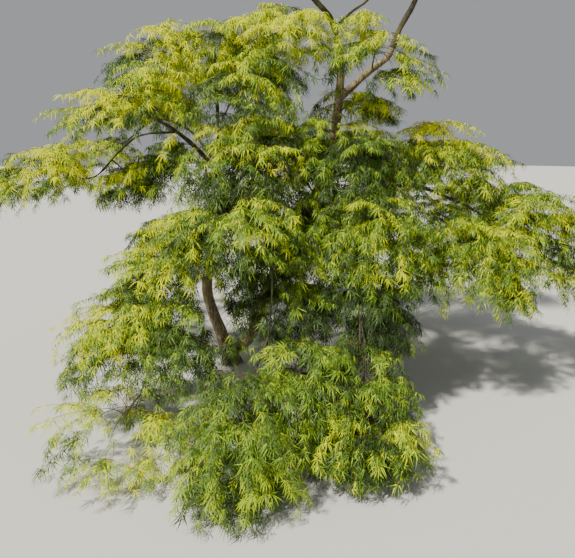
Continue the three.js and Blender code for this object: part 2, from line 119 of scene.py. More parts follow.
LIMBS = (
    Limb("trunk", "", 0, (
        (0, 0, 0), (-0.062, -0.02, 0.215), (-0.15, -0.06, 0.56), (-0.112, -0.06, 0.83),
        (-0.035, -0.045, 1.08), (-0.025, 0, 1.32)), (0.047, 0.027)),
    Limb("back_stem", "trunk", 0.05, (
        (0.139, 0.05, 0.185), (0.19, 0.085, 0.36), (0.389, 0.15, 0.805), (0.624, 0.2, 1.23),
        (0.728, 0.22, 1.58), (0.765, 0.22, 1.9)), (0.04, 0.033)),
    Limb("left_bough", "trunk", 0.975, (
        (-0.126, -0.1, 1.466), (-0.313, -0.15, 1.639), (-0.494, -0.2, 1.745),
        (-0.56, -0.225, 1.8)), (0.019, 0.009)),
    Limb("left_arch_bough", "left_bough", 0.58, (
        (-0.522, -0.185, 1.596), (-0.648, -0.185, 1.505), (-0.813, -0.18, 1.35),
        (-0.9, -0.17, 1.33)), (0.0095, 0.006)),
    Limb("upper_left_bough", "left_bough", 0.84, (
        (-0.44, -0.16, 1.87), (-0.428, -0.11, 2.05)), (0.0085, 0.006)),
    Limb("crown_bough", "trunk", 0.93, (
        (-0.06, 0.02, 1.48), (-0.04, -0.07, 1.73), (-0.06, 0.04, 2.11)), (0.017, 0.008)),
    Limb("front_low_bough", "trunk", 0.8, (
        (0.06, -0.3, 1.18), (0.18, -0.62, 1.21), (0.3, -0.86, 1.12)), (0.018, 0.01)),
    Limb("front_drop_bough", "front_low_bough", 0.93, (
        (0.325, -0.96, 0.9), (0.315, -1.06, 0.64), (0.29, -1.14, 0.5)), (0.0085, 0.0055)),
    Limb("left_front_bough", "trunk", 0.7, (
        (-0.17, -0.3, 1.05), (-0.24, -0.56, 0.96), (-0.36, -0.8, 0.72),
        (-0.42, -0.88, 0.62)), (0.016, 0.008)),
    Limb("low_left_bough", "left_front_bough", 0.8, (
        (-0.27, -1.03, 0.56), (-0.32, -1.22, 0.35)), (0.007, 0.005)),
    Limb("right_rising_bough", "trunk", 0.89, (
        (0.14, -0.07, 1.37), (0.35, -0.11, 1.43), (0.52, -0.13, 1.35)), (0.017, 0.012)),
    Limb("right_drop_bough", "right_rising_bough", 0.97, (
        (0.65, -0.2, 1.1), (0.72, -0.48, 0.88), (0.77, -0.78, 0.76),
        (0.81, -1.02, 0.56)), (0.011, 0.006)),
    Limb("right_bough", "back_stem", 0.5, (
        (0.85, 0.11, 1.18), (1.25, 0.06, 1.27), (1.6, 0, 1.15),
        (1.76, -0.04, 1.06)), (0.021, 0.008)),
    Limb("right_low_bough", "right_bough", 0.32, (
        (0.98, -0.18, 1.17), (1.12, -0.4, 1.08), (1.33, -0.5, 0.96)), (0.011, 0.006)),
    Limb("back_left_bough", "crown_bough", 0.18, (
        (-0.28, 0.24, 1.64), (-0.56, 0.44, 1.72), (-0.83, 0.56, 1.56)), (0.013, 0.006)),
    Limb("back_mid_bough", "trunk", 0.84, (
        (0.06, 0.35, 1.38), (0.2, 0.72, 1.42), (0.22, 1.02, 1.22)), (0.016, 0.008)),
    Limb("back_right_bough", "back_stem", 0.57, (
        (0.82, 0.52, 1.32), (1.12, 0.82, 1.23), (1.2, 1.08, 1)), (0.017, 0.008)),
    Limb("top_left_arm", "back_stem", 0.985, (
        (0.765, 0.205, 2.08), (0.695, 0.18, 2.335), (0.59, 0.19, 2.455),
        (0.45, 0.22, 2.6)), (0.03, 0.015)),
    Limb("top_right_arm", "back_stem", 0.975, (
        (0.96, 0.205, 2.025), (1.078, 0.185, 2.115), (1.143, 0.18, 2.276), (1.231, 0.2, 2.43),
        (1.3, 0.23, 2.6)), (0.029, 0.015)),
    Limb("top_thin_arm", "top_left_arm", 0.5, (
        (0.83, 0.19, 2.39), (0.934, 0.2, 2.465), (1, 0.24, 2.6)), (0.013, 0.008)),
)


class Mass(NamedTuple):
    """A mass of foliage: its limb and the place there, its twigs, its own space, its light and fullness."""

    name: str
    limb: str
    share: float
    twigs: int
    middle: tuple
    reach: tuple
    sun: float
    full: float = 1.0


REGIONS = {
    "crown": (
        Mass("top_left_tuft", "upper_left_bough", 1, 6,
             (-0.425, -0.1, 2.095), (0.32, 0.285, 0.185), 0.92, 0.5),
        Mass("top_mid", "crown_bough", 1, 6, (-0.075, 0.06, 2.205), (0.32, 0.305, 0.16), 0.88, 0.5),
        Mass("top_centre", "top_left_arm", 0.28, 7, (0.4, -0.12, 2.215), (0.35, 0.34, 0.18), 1.0, 0.65),
        Mass("top_right", "top_right_arm", 0.3, 7, (0.95, -0.15, 2.08), (0.37, 0.305, 0.23), 0.8, 0.65),
        Mass("fork_cluster", "back_stem", 0.93, 5, (0.89, 0.06, 1.8), (0.3, 0.245, 0.115), 0.7, 0.8),
        Mass("upper_centre", "crown_bough", 0.45, 7, (0.155, -0.35, 1.855), (0.375, 0.35, 0.215), 0.45, 0.7),
    ),
    "left": (
        Mass("left_layer", "left_bough", 1, 7, (-0.525, -0.3, 1.785), (0.455, 0.35, 0.2), 1.0, 0.72),
        Mass("left_drooping", "left_arch_bough", 1, 7, (-1.2, -0.1, 1.35), (0.445, 0.35, 0.21), 0.8, 0.8),
        Mass("left_arch_sprig", "left_arch_bough", 0.66, 5, (-0.61, -0.17, 1.32), (0.21, 0.2, 0.16), 0.7),
        Mass("dark_sprig", "left_bough", 0.2, 5, (-0.32, -0.21, 1.425), (0.215, 0.21, 0.17), 0.25, 0.8),
    ),
    "middle": (
        Mass("centre_high", "trunk", 0.86, 7, (0.155, -0.55, 1.475), (0.37, 0.35, 0.235), 0.45, 0.9),
        Mass("centre_low", "front_low_bough", 0.8, 7, (0.11, -0.8, 1.13), (0.43, 0.34, 0.205), 0.42, 1.3),
        Mass("inner_cluster", "right_rising_bough", 0.75, 5,
             (0.58, -0.44, 1.05), (0.28, 0.28, 0.25), 0.4, 1.2),
    ),
    "right": (
        Mass("dome", "right_bough", 0.22, 8, (0.77, -0.25, 1.445), (0.48, 0.37, 0.27), 0.39, 1.2),
        Mass("right_high", "right_bough", 0.62, 8, (1.48, 0.1, 1.43), (0.415, 0.425, 0.275), 0.68, 1.1),
        Mass("right_outer", "right_bough", 1, 9, (2.05, -0.1, 0.95), (0.465, 0.445, 0.39), 0.48, 1.15),
        Mass("right_front", "right_low_bough", 0.5, 8,
             (0.955, -0.6, 1.035), (0.395, 0.335, 0.285), 0.41, 1.4),
        Mass("right_low", "right_low_bough", 1, 8, (1.55, -0.52, 0.89), (0.37, 0.35, 0.275), 0.45, 1.2),
    ),
    "skirt": (
        Mass("small_sprig", "left_front_bough", 0.36, 5,
             (-0.35, -0.42, 1.02), (0.205, 0.19, 0.14), 0.5, 0.8),
        Mass("skirt_high", "left_front_bough", 0.62, 7,
             (-0.25, -0.76, 0.865), (0.32, 0.305, 0.205), 0.62, 1.1),
        Mass("skirt_outer", "left_front_bough", 1, 8, (-0.5, -0.9, 0.535), (0.3, 0.33, 0.255), 0.6, 1.0),
        Mass("skirt_inner", "low_left_bough", 0.4, 5, (-0.13, -1, 0.545), (0.23, 0.265, 0.24), 0.3, 0.9),
        Mass("low_left", "low_left_bough", 1, 6, (-0.365, -1.35, 0.25), (0.39, 0.305, 0.23), 0.5, 0.42),
    ),
    "front": (
        Mass("curtain_centre", "front_low_bough", 0.55, 6,
             (0.345, -0.68, 0.74), (0.33, 0.305, 0.255), 0.4, 1.35),
        Mass("curtain_right", "right_drop_bough", 0.6, 6,
             (0.87, -0.75, 0.67), (0.27, 0.285, 0.235), 0.0, 1.3),
        Mass("front_left", "front_drop_bough", 0.85, 8, (0.19, -1.5, 0.265), (0.29, 0.31, 0.275), 0.39, 0.8),
        Mass("front_mid", "front_drop_bough", 1, 7, (0.47, -1.23, 0.385), (0.285, 0.275, 0.25), 0.33, 1.0),
        Mass("front_right", "right_drop_bough", 0.9, 7, (0.77, -1.16, 0.35), (0.26, 0.265, 0.235), 0.2, 0.9),
        Mass("hem_right", "right_drop_bough", 1, 7, (0.77, -1.395, 0.245), (0.325, 0.22, 0.145), 0.41, 0.8),
    ),
    "back": (
        Mass("back_left_layer", "back_left_bough", 0.62, 6, (-0.56, 0.48, 1.87), (0.425, 0.37, 0.18), 0.8),
        Mass("back_left_drooping", "back_left_bough", 1, 6,
             (-1.13, 0.64, 1.4), (0.415, 0.36, 0.225), 0.6, 0.6),
        Mass("back_top", "crown_bough", 0.72, 6, (0.13, 0.47, 2.11), (0.415, 0.37, 0.175), 0.8),
        Mass("back_centre", "back_mid_bough", 0.6, 7, (0.18, 0.95, 1.56), (0.455, 0.39, 0.245), 0.5),
        Mass("back_right", "back_right_bough", 0.5, 7, (1.04, 0.88, 1.44), (0.445, 0.39, 0.245), 0.5),
        Mass("back_far_right", "back_right_bough", 0.75, 6, (1.74, 0.82, 1.06), (0.455, 0.415, 0.295), 0.55),
        Mass("back_low_left", "back_mid_bough", 1, 7, (0.02, 1.33, 0.98), (0.465, 0.37, 0.285), 0.42),
        Mass("back_low_right", "back_right_bough", 1, 7, (0.92, 1.32, 0.85), (0.465, 0.37, 0.285), 0.42),
    ),
    "arms": (
        Mass("sky_left", "top_left_arm", 1, 6, (0.33, 0.25, 2.77), (0.405, 0.35, 0.18), 1.0),
        Mass("sky_middle", "top_thin_arm", 1, 5, (0.96, 0.3, 2.86), (0.35, 0.34, 0.18), 1.0),
        Mass("sky_right", "top_right_arm", 1, 5, (1.51, 0.25, 2.76), (0.37, 0.34, 0.17), 1.0),
    ),
}
MASSES = tuple(mass for masses in REGIONS.values() for mass in masses)

# Where the camera stands and how far down it looks
EYE = (0.407, -3.62, 1.55)
TILT = math.radians(14.3)

# Points of a limb's line and of each of its bends, and of a mass's stem and its twigs
LIMB_POINTS = 240
BEND_POINTS = 40
STEM_POINTS = 13
TWIG_POINTS = 5

# How a limb thins, and the tubes that the skin is made from. The trunk's tube starts below the ground
THINNING = 0.85
TUBE_STEP = 0.03
FEWEST_STEPS = 8
SUNK_FOOT = 0.03
GROUND = 0.0002

# Root ridges: where they leave the trunk, where they bend and where they sink into the ground
RIDGE_TOP, RIDGE_TOP_OUT = 0.17, 0.018
RIDGE_REACH, KNEE_SHARE, KNEE_HEIGHT = 0.07, 0.62, 0.055
TOE_FURTHER, TOE_DEPTH = 0.012, 0.03
RIDGE_THICK = (0.016, 0.019)
RIDGE_POINTS = 12

# The relief of the skin: the size and the depth of the noise of its swellings and ridges
SWELLING_NOISE = (0.09, 2)
RIDGE_NOISE = (0.017, 1)

# Bark: how its grain is drawn out, how strong film and lichen are, how rough it is and how deep its relief
GRAIN = (1, 1, 0.22)
FILM_STRENGTH, LICHEN_STRENGTH = 0.55, 0.6
BARK_ROUGHNESS, RIDGE_SHINE = 0.94, 0.16
PORE_DEPTH = 0.25
BUMP = {"Strength": 0.55, "Distance": 0.004}

# How the tiers of sprays lie in a mass, from its top to its foot
TIER_GAP = 0.13
TIER_RISE = (0.8, -0.5)
TWIG_ROOT = (0.98, 0.4)
TWIG_OUT = (0.24, 0.6)
SPRAY_LENGTH = (0.8, 0.7)
SPRAY_SLOPE = (math.radians(-14), math.radians(24))
SPRAY_SPREAD = (math.radians(110), math.radians(62))
SPRAY_DROOP = (0.36, 0.27)

# How stems and twigs arch, and how the side of a mass away from the crown's middle leans out and down
STEM_RISE = 0.2
STEM_ARCH = 0.1
TWIG_ARCH = 0.12
LEAN_OUT = 0.08
LEAN_DOWN = 0.3
CROWN_MIDDLE = np.array((0.35, 0.0, 0.0))

# What chance adds to the turn, rise and slope of a spray, and what it multiplies its way out and length by
FIRST_SEED = 11
TURN_CHANCE = 0.08
RISE_CHANCE = (-0.12, 0.12)
SLOPE_CHANCE = (-0.25, 0.25)
OUT_CHANCE = (0.55, 1.35)
LENGTH_CHANCE = (0.7, 1.3)

# The shoots of a spray: how many there are high and low in a mass, and how much shorter they are aside
SHOOTS_HIGH, SHOOTS_LOW = 7, 5
HIGH_LEVEL = 0.3
SIDE_SHORTER = 0.35
SHOOT_TURN_CHANCE = (-0.15, 0.15)
SHOOT_LENGTH_CHANCE = (0.75, 1.2)

# Shoots that hang on past the rim of their spray: how many, from which level down, how long and how bent
HANGING_SHARE = 0.32
HANGING_FROM = 0.15
HANGING_LENGTH = (0.08, 0.22)
HANGING_SWAY = 0.5
HANGING_FALL = (0.3, 0.55)

# The space that a mass keeps to: round above and squarer below, with a ragged edge
TOP_POWER, FOOT_POWER = 2.0, 4.0
RAGGED_EDGE = (0.88, 1.28)
HANGING_EDGE = 1.28
LOWEST_LEAF = 0.012
BOX_MARGIN = 0.026
WOOD_ROOM = 0.012
WOOD_STEP = 4

# Limbs that show between the leaves: from and to which share of their length, and how much room they keep
SHOWN = (
    ("trunk", 0.16, 0.44, 0.06),
    ("left_bough", 0.3, 0.72, 0.038),
    ("top_right_arm", 0.08, 0.62, 0.05),
    ("back_stem", 0.86, 0.97, 0.05),
    ("back_stem", 0.06, 0.13, 0.024),
)
SHOWN_STEPS = 12
SHOWN_DEPTH = 0.52

# How leaves sit on a shoot. LEAF_HANG says how far they may point down and up at the top and the foot of a
# mass. TIP_REACH and TIP_SPARE let them hang less near the ground
LEAF_HANG = ((-0.35, 0.35), (-0.38, 0.3))
LEAF_SWING = (16, 54)
END_SWING = (0.25, 0.75)
LEAF_FLOW = 0.45
LEAF_SIZE = (0.72, 1.2)
PAIR_SHIFT = (-0.3, 0.3)
FACE_UP = 0.3
FACE_CHANCE = 0.3
TIP_REACH, TIP_SPARE = 1.5, 0.25

# A leaf's lobes: the turn of each in degrees and its length, for a middle lobe 1 long
BROAD_LOBES = ((0, 1), (26, 0.98), (-26, 0.98))
SIDE_LOBES = ((52, 0.84), (-52, 0.84), (80, 0.6), (-80, 0.6))
LOBE_WIDEST = 0.44
LOBE_WIDTH = 0.03
SIDE_LOBE_FOOT = 0.12
SHORT_LOBE_BEND = 0.6
STALK_WIDTH, STALK_RISE = 0.012, 0.006

# What chance makes of each form of leaf
LEAF_FORMS = 8
LEAF_BEND = (0.8, 1.7)
LEAF_SPREAD = (0.85, 1.1)
LOBE_TURN_CHANCE = (-7, 7)
LOBE_LENGTH_CHANCE = (0.85, 1.1)
LOBE_CURL_CHANCE = (-0.55, 0.55)
# The share of lobes whose tip takes the leaf's tip tone: a painted highlight up to two tones sunnier than
# the leaf, bronze on a few young leaves
HIGHLIGHT_AND_BRONZE_LOBES = 0.6
BASE, TIP = 0, 1

# Tones of the leaves, from the sunniest to the most shaded, then the rare ones
TONES = ("gold", "lime", "fresh", "green", "deep", "shade", "bronze", "cream", "stalk")
GOLD, LIME, SHADE, BRONZE, CREAM, STALK = (
    TONES.index(tone) for tone in ("gold", "lime", "shade", "bronze", "cream", "stalk"))
SUNNY_TONES = ("gold", "lime")
SUNNY_GLOSS, LEAF_GLOSS = 0.1, 0.3
LEAF_ROUGHNESS = 0.55

# How sunny a leaf is. A mass gets less sun at its foot, but the hem above the ground is lit all the way down
TOP_SUN = 1.05
SUN_FALL, HEM_SUN_FALL = 0.9, 0.35
HEM_BELOW = 0.4
SPRAY_LUCK, LEAF_LUCK = 0.24, 0.6
FULL_SUN = 0.95
TONE_STEPS = 4.6
GOLDEN_SUN = 0.4
TONE_SEED = 1000

# Rare bronze tips and cream leaves high in the crown: in what share of its sprays, and of their leaves
RARE_ABOVE = 1.2
BRONZE_SPRAYS, CREAM_SPRAYS = 0.08, 0.04
RARE_LEAVES = 0.3
BRONZE_LEVEL = 0.5

# Thin tubes of wood: their sides and tones, and how thin they are near the end and at it
STEM_SIDES, TWIG_SIDES = 5, 3
OLD_WOOD, YOUNG_WOOD = 0, 1
TUBE_END, TUBE_TIP = 0.55, 0.3
ASLANT = (0.31, 0.17, 0.93)

# The studio: a wide floor, a faintly blue even light and a warm main light from the upper left
FLOOR_SIDES, FLOOR_RADIUS, FLOOR_DEPTH = 64, 40, 0.002
SKY_COLOUR = (0.93, 0.96, 1, 1)
KEY_COLOUR = (1, 0.97, 0.85)
KEY_SPREAD = math.radians(3)
KEY_PLACE = (-3, -3, 6)
KEY_WAY = (0.52, 0.52, -1)
SENSOR_WIDTH = 36
NEAREST, FURTHEST = 0.05, 200


def paint(name, code, description):
    """A setting for a colour."""
    return FloatVectorProperty(name=name, description=description, default=colour(code), subtype="COLOR")


def measure(name, metres, description):
    """A setting for a length."""
    return FloatProperty(name=name, description=description, default=metres, unit="LENGTH")


class BarkSettings(bpy.types.PropertyGroup):
    """Sizes and colours of the trunk and boughs."""

    voxel: measure("Voxel", 0.0056, "Grain of the skin that joins the limbs")
    relief: measure("Relief", 0.0035, "Height of the ridges in the bark")
    swelling: measure("Swelling", 0.008, "Height of the slow swellings of the wood")
    flare: measure("Root flare", 0.03, "Added half thickness at the ground")
    flare_height: measure("Flare height", 0.085, "Height over which the root flare fades")
    roots: IntProperty(name="Root ridges", description="Ridges round the foot of the trunk", default=5)
    # The bark colours are the bark's own warm grey-brown, lightened as painted sunlight on the trunk and
    # thick boughs. Boughs under the thin half thickness take the thin bark colours: their own darker brown,
    # deepened with painted shade.
    thin: measure("Thin", 0.022, "Half thickness under which a bough has dark bark")
    wood: paint("Bark", "a08f70", "Warm grey-brown of the bark")
    furrow: paint("Furrows", "54432f", "Dark brown between the ridges")
    thin_wood_and_shade: paint("Thin bark", "3a3026", "Dark brown of thin boughs")
    thin_furrow_and_shade: paint("Thin furrows", "1f1913", "Darker brown on thin boughs")
    algae: paint("Green film", "7c7c46", "Dull green film in patches")
    lichen: paint("Lichen", "b9b49c", "Pale patches on the bark")


class TwigSettings(bpy.types.PropertyGroup):
    """Sizes and colours of the twigs that carry the leaves."""

    finer: FloatProperty(
        name="Finer", description="Sprays of leaves for each twig of the solids", default=3.7)
    stem: measure("Stem", 0.0058, "Half thickness of a stem")
    twig: measure("Twig", 0.0026, "Half thickness of a twig")
    shoot: measure("Shoot", 0.0012, "Half thickness of a shoot")
    old: paint("Old wood", "4a3f33", "Dark grey-brown of stems and twigs")
    young: paint("Young wood", "5d4430", "Red-brown of the youngest shoots")


class LeafSettings(bpy.types.PropertyGroup):
    """Sizes and colours of the leaves."""

    length: measure("Length", 0.075, "Length of a leaf's middle lobe")
    stalk_length: measure("Stalk length", 0.018, "Length of a leaf's stalk")
    spacing: measure("Spacing", 0.036, "From one pair of leaves to the next on a shoot")
    gold: paint("Gold", "d2d800", "Leaves in full sun")
    lime: paint("Lime", "a0b826", "Leaves in sun")
    fresh: paint("Fresh", "6f8f24", "Leaves near the light")
    green: paint("Green", "4a681a", "Leaves in half shade")
    deep: paint("Deep", "2f4814", "Leaves in shade")
    shade: paint("Shade", "1c2d0c", "Leaves deep inside")
    bronze: paint("Bronze", "b8924a", "Young tips")
    cream: paint("Cream", "d3cf6a", "Rare pale leaves")
    stalk: paint("Stalk", "806a35", "Thin stalks")


class StudioSettings(bpy.types.PropertyGroup):
    """The floor, the lights and the camera."""

    floor: paint("Floor", "cbcac6", "Plain pale floor")
    sky: FloatProperty(name="Sky", description="Strength of the even light", default=0.38)
    key: FloatProperty(name="Key", description="Strength of the main light", default=6.2)
    eye: FloatVectorProperty(
        name="Eye", description="Where the camera stands", default=EYE, subtype="TRANSLATION")
    tilt: FloatProperty(
        name="Tilt", description="How far down the camera looks", default=TILT, subtype="ANGLE")
    lens: FloatProperty(name="Lens", description="Focal length in millimetres", default=33.24)


class Value:
    """A socket of a material's nodes. Sums on it add Math nodes."""

    def __init__(self, shader, socket):
        self.shader = shader
        self.socket = socket

    def _maths(self, operation, first, second):
        return self.shader.node("ShaderNodeMath", {"operation": operation}, {0: first, 1: second})

    def __add__(self, other):
        return self._maths("ADD", self, other)

    def __rsub__(self, other):
        return self._maths("SUBTRACT", other, self)

    def __mul__(self, other):
        return self._maths("MULTIPLY", self, other)


class Shader:
    """A material that is built up node by node round one Principled shader."""

    def __init__(self, name):
        self.material = bpy.data.materials.new(name)
        self.material.use_nodes = True
        self.tree = self.material.node_tree
        self.surface = self.tree.nodes["Principled BSDF"]

    def node(self, kind, settings=None, sockets=None, output=0):
        """A node of this kind: its settings are made first, then the values or links of its sockets."""
        made = self.tree.nodes.new(kind)
        for name, value in (settings or {}).items():
            setattr(made, name, value)
        for name, value in (sockets or {}).items():
            self.feed(made.inputs[name], value)
        return Value(self, made.outputs[output])

    def feed(self, socket, value):
        """Links a value to a socket, or sets the socket to a number, a colour or a vector."""
        if isinstance(value, Value):
            self.tree.links.new(value.socket, socket)
        elif isinstance(value, (tuple, list)) and len(socket.default_value) == 4:
            socket.default_value = (*value, 1)
        else:
            socket.default_value = value

    def set(self, **sockets):
        for name, value in sockets.items():
            self.feed(self.surface.inputs[name.replace("_", " ")], value)

    def noise(self, where, scale, detail):
        return self.node("ShaderNodeTexNoise", {}, {"Vector": where, "Scale": scale, "Detail": detail})

    def mask(self, factor, low, high):
        """Black where the factor is below low, white where it is above high, and greys between."""
        made = self.node("ShaderNodeValToRGB", {}, {"Fac": factor})
        first, last = made.socket.node.color_ramp.elements
        first.position = low
        last.position = high
        return made

    def mix(self, factor, first, second):
        return self.node("ShaderNodeMix", {"data_type": "RGBA"}, {0: factor, 6: first, 7: second}, output=2)


def bark_material(name, wood, furrow, algae, lichen):
    """Bark with darker furrows, a green film and pale patches of lichen."""
    shader = Shader(name)
    place = shader.node("ShaderNodeTexCoord", output=3)
    grain = shader.node("ShaderNodeMapping", {}, {"Vector": place, "Scale": GRAIN})
    ridges = shader.noise(grain, scale=85, detail=5)
    pores = shader.noise(place, scale=420, detail=2)
    patches = shader.noise(place, scale=9, detail=4)
    film = shader.noise(place, scale=3.2, detail=3)
    furrowed = shader.mask(ridges, low=0.36, high=0.6)
    filmed = shader.mask(film, low=0.42, high=0.62)
    spotted = shader.mask(patches, low=0.6, high=0.66)
    bare = shader.mix(furrowed, tuple(furrow), tuple(wood))
    green = shader.mix(filmed * FILM_STRENGTH, bare, tuple(algae))
    shader.set(
        Base_Color=shader.mix(spotted * LICHEN_STRENGTH, green, tuple(lichen)),
        Roughness=BARK_ROUGHNESS - furrowed * RIDGE_SHINE,
        Normal=shader.node("ShaderNodeBump", {}, {**BUMP, "Height": ridges + pores * PORE_DEPTH}),
    )
    return shader.material


def plain_material(name, shade, roughness, gloss=0.5):
    shader = Shader(name)
    shader.set(Base_Color=tuple(shade), Roughness=roughness, Specular_IOR_Level=gloss)
    return shader.material


def unit(rows):
    """Rows of vectors, each made 1 long."""
    return rows / np.maximum(np.linalg.norm(rows, axis=-1, keepdims=True), SHORTEST)


def between(pair, share):
    """The value at this share of the way from the first of a pair to the second."""
    return np.interp(share, (0, 1), pair)


def even_points(line, count):
    """This many points along a line of points, an even way apart."""
    steps = np.linalg.norm(np.diff(line, axis=0), axis=1)
    way = np.concatenate(([0], np.cumsum(steps)))
    wanted = np.linspace(0, way[-1], count)
    return np.stack([np.interp(wanted, way, line[:, axis]) for axis in range(3)], axis=1)


def smooth_line(places):
    """A smooth line through the places, a centripetal Catmull-Rom one like that of the solids."""
    ends = [2 * places[0] - places[1], *places, 2 * places[-1] - places[-2]]
    t = np.linspace(0, 1, BEND_POINTS)[:, None]
    pieces = []
    for before, start, end, after in zip(ends, ends[1:], ends[2:], ends[3:]):
        gap0, gap1, gap2 = (
            math.sqrt(np.linalg.norm(b - a)) for a, b in ((before, start), (start, end), (end, after)))
        leave = (start - before) / gap0 - (end - before) / (gap0 + gap1) + (end - start) / gap1
        arrive = (end - start) / gap1 - (after - start) / (gap1 + gap2) + (after - end) / gap2
        pieces.append(
            (2 * t**3 - 3 * t**2 + 1) * start + (t**3 - 2 * t**2 + t) * leave * gap1
            + (3 * t**2 - 2 * t**3) * end + (t**3 - t**2) * arrive * gap1)
    return even_points(np.concatenate(pieces), LIMB_POINTS)


def bent_line(start, bend, end, count):
    """A line that leaves start towards bend and arrives at end, as a quadratic curve does."""
    t = np.linspace(0, 1, count)[:, None]
    return (1 - t) ** 2 * start + 2 * t * (1 - t) * bend + t**2 * end


@functools.lru_cache(maxsize=1)
def limb_lines():
    """Each limb's middle line, from its root on its parent to its tip."""
    lines = {}
    for limb in LIMBS:
        places = [np.array(place, float) for place in limb.way]
        if limb.parent:
            places.insert(0, on_line(lines[limb.parent], limb.share))
        lines[limb.name] = smooth_line(places)
    return lines


def on_line(line, share):
    """The point of a line at this share of its length."""
    return line[round(share * (len(line) - 1))]


def limb_thickness(limb, line, look):
    """Half thickness at each point of a limb's line, with the root flare on the trunk."""
    share = np.linspace(0, 1, len(line))
    thick = limb.thick[0] + (limb.thick[1] - limb.thick[0]) * share**THINNING
    if not limb.parent:
        thick = thick + look.flare * np.exp(-np.maximum(line[:, 2], 0) / look.flare_height)
    return thick


def tube_object(line, thick):
    """A round limb with flat ends, as a mesh of its own."""
    bpy.ops.object.select_all(action="DESELECT")
    bpy.ops.curve.primitive_bezier_curve_add(location=(0, 0, 0))
    piece = bpy.context.object
    data = piece.data
    data.splines.clear()
    spline = data.splines.new("POLY")
    spline.points.add(len(line) - 1)
    spline.points.foreach_set("co", np.column_stack((line, np.ones(len(line)))).ravel())
    spline.points.foreach_set("radius", thick)
    data.dimensions = "3D"
    data.bevel_depth = 1
    data.bevel_resolution = 4
    data.use_fill_caps = True
    bpy.ops.object.convert(target="MESH")
    return bpy.context.object


def apply(piece, kind, **settings):
    """Adds a modifier with these settings and applies it."""
    modifier = piece.modifiers.new(kind.title(), kind)
    for name, value in settings.items():
        setattr(modifier, name, value)
    bpy.ops.object.modifier_apply(modifier=modifier.name)


def clouds(name, size, depth):
    """A soft noise that shapes the skin."""
    texture = bpy.data.textures.new(name, "CLOUDS")
    texture.noise_scale = size
    texture.noise_depth = depth
    return texture


def root_ridges(look, line):
    """Short ridges that run out of the trunk into the ground, evenly round its foot."""
    for ridge in range(look.roots):
        turn = 2 * math.pi * ridge / look.roots
        outward = np.array((math.cos(turn), math.sin(turn), 0))
        top = line[np.argmin(abs(line[:, 2] - RIDGE_TOP))] + RIDGE_TOP_OUT * outward
        knee = RIDGE_REACH * KNEE_SHARE * outward + KNEE_HEIGHT * UP
        toe = (RIDGE_REACH + TOE_FURTHER) * outward - TOE_DEPTH * UP
        way = bent_line(top, knee, toe, RIDGE_POINTS)
        yield tube_object(way, np.linspace(*RIDGE_THICK, RIDGE_POINTS))


def limb_skin(look):
    """One closed skin over trunk, stems and boughs, with swellings and ridges, cut flat at the ground."""
    lines = limb_lines()
    parts = []
    for limb in LIMBS:
        line = lines[limb.name]
        length = np.linalg.norm(np.diff(line, axis=0), axis=1).sum()
        count = max(FEWEST_STEPS, round(length / TUBE_STEP))
        share = np.linspace(0, len(line) - 1, count).round().astype(int)
        points = line[share].copy()
        if not limb.parent:
            points[0, 2] -= SUNK_FOOT
        parts.append(tube_object(points, limb_thickness(limb, line, look)[share]))
    parts.extend(root_ridges(look, lines["trunk"]))
    bpy.ops.object.select_all(action="DESELECT")
    for part in parts:
        part.select_set(True)
    bpy.context.view_layer.objects.active = parts[0]
    bpy.ops.object.join()
    skin = parts[0]
    skin.name = "limbs"
    apply(skin, "REMESH", mode="VOXEL", voxel_size=look.voxel, use_smooth_shade=True)
    apply(skin, "SMOOTH", factor=0.5, iterations=4)
    noises = (clouds("swelling", *SWELLING_NOISE), clouds("ridges", *RIDGE_NOISE))
    for noise, height in zip(noises, (look.swelling, look.relief)):
        apply(skin, "DISPLACE", texture=noise, texture_coords="LOCAL", strength=height, mid_level=0.5)
    bpy.ops.object.mode_set(mode="EDIT")
    bpy.ops.mesh.select_all(action="SELECT")
    bpy.ops.mesh.bisect(plane_co=(0, 0, GROUND), plane_no=(0, 0, 1), use_fill=True, clear_inner=True)
    bpy.ops.object.mode_set(mode="OBJECT")
    return skin


def outness(points, mass):
    """How far out points lie in a mass's space: 0 in its middle and 1 at its edge, as for the solids."""
    from_middle = (points - np.array(mass.middle)) / np.array(mass.reach)
    power = np.where(from_middle[:, 2] > 0, TOP_POWER, FOOT_POWER)
    level = np.linalg.norm(from_middle[:, :2], axis=1)
    return (level**power + np.abs(from_middle[:, 2]) ** power) ** (1 / power)


def in_own_space(points, mass, edge):
    """Which points lie inside this edge of a mass's space and above the ground."""
    return (outness(points, mass) < edge) & (points[:, 2] > LOWEST_LEAF)


def hides_limb(points):
    """Which points lie in the camera's way to a limb that shows."""
    hiding = np.zeros(len(points), bool)
    for name, first, last, room in SHOWN:
        line = limb_lines()[name]
        for share in np.linspace(first, last, SHOWN_STEPS):
            start = on_line(line, share)
            way = SHOWN_DEPTH * (np.array(EYE) - start)
            along = np.clip((points - start) @ way / (way @ way), 0, 1)
            hiding |= np.linalg.norm(points - start - along[:, None] * way, axis=1) < room
    return hiding


def in_box(leaves):
    """Which leaves lie above the ground and inside the solids' box or just outside it, with all points."""
    low, high = (np.array(corner) for corner in CAD_BOX)
    room = BOX_MARGIN * (high - low) * (1, 1, 0)
    return ((leaves > low - room) & (leaves < high + room)).all(axis=(1, 2))


@functools.lru_cache(maxsize=1)
def wood_places():
    """The limbs' places and thicknesses, to be searched fast."""
    places, thick = [], []
    for limb in LIMBS:
        line = limb_lines()[limb.name]
        places.extend(line[::WOOD_STEP])
        thick.extend(np.interp(np.arange(0, len(line), WOOD_STEP), (0, len(line) - 1), limb.thick))
    tree = KDTree(len(places))
    for number, place in enumerate(places):
        tree.insert(place, number)
    tree.balance()
    return tree, thick


